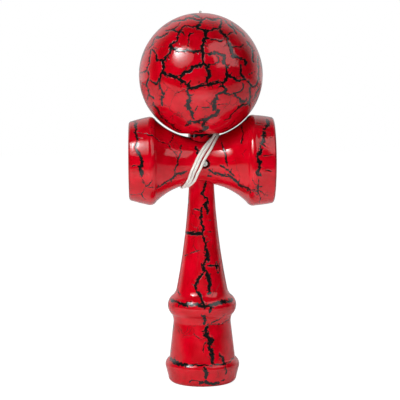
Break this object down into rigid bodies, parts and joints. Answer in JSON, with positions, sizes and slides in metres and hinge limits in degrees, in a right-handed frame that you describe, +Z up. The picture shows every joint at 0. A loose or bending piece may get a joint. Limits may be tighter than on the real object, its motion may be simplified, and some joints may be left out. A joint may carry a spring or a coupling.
{
  "type": "cup and ball toy",
  "caption": "Turned wooden cup and ball toy: a spiked handle with a base cup, a cross cup, and a drilled ball tied on by a string wound round the waist.",
  "frame": {"origin": "centre of the flat base rim that the handle stands on", "axes": "+Z up along the handle and spike, +X along the cross cup towards its large cup"},
  "size_m": [0.0716, 0.0627, 0.1846],
  "materials": {
    "red_lacquer": "red crackle paint over a black base coat, under a glossy clear coat",
    "string": "braided off-white cord",
    "bead_wood": "plain sanded wood"
  },
  "bodies": {
    "handle": {"spike_handle": "red_lacquer", "cross_cup": "red_lacquer", "string_winding": "string", "handle_knot": "string"},
    "string_end": {"string_riser": "string", "bead": "bead_wood", "bead_knot": "string"},
    "ball": {"ball": "red_lacquer"}
  },
  "joints": [
    {"name": "ball_lift", "type": "slide", "parent": "handle", "child": "string_end", "axis": [0, 0, 1], "range_m": [0, 0.05]},
    {"name": "ball_spin", "type": "hinge", "parent": "string_end", "child": "ball", "pos_m": [0, 0, 0.15272], "axis": [0, 0, 1], "continuous": true}
  ]
}
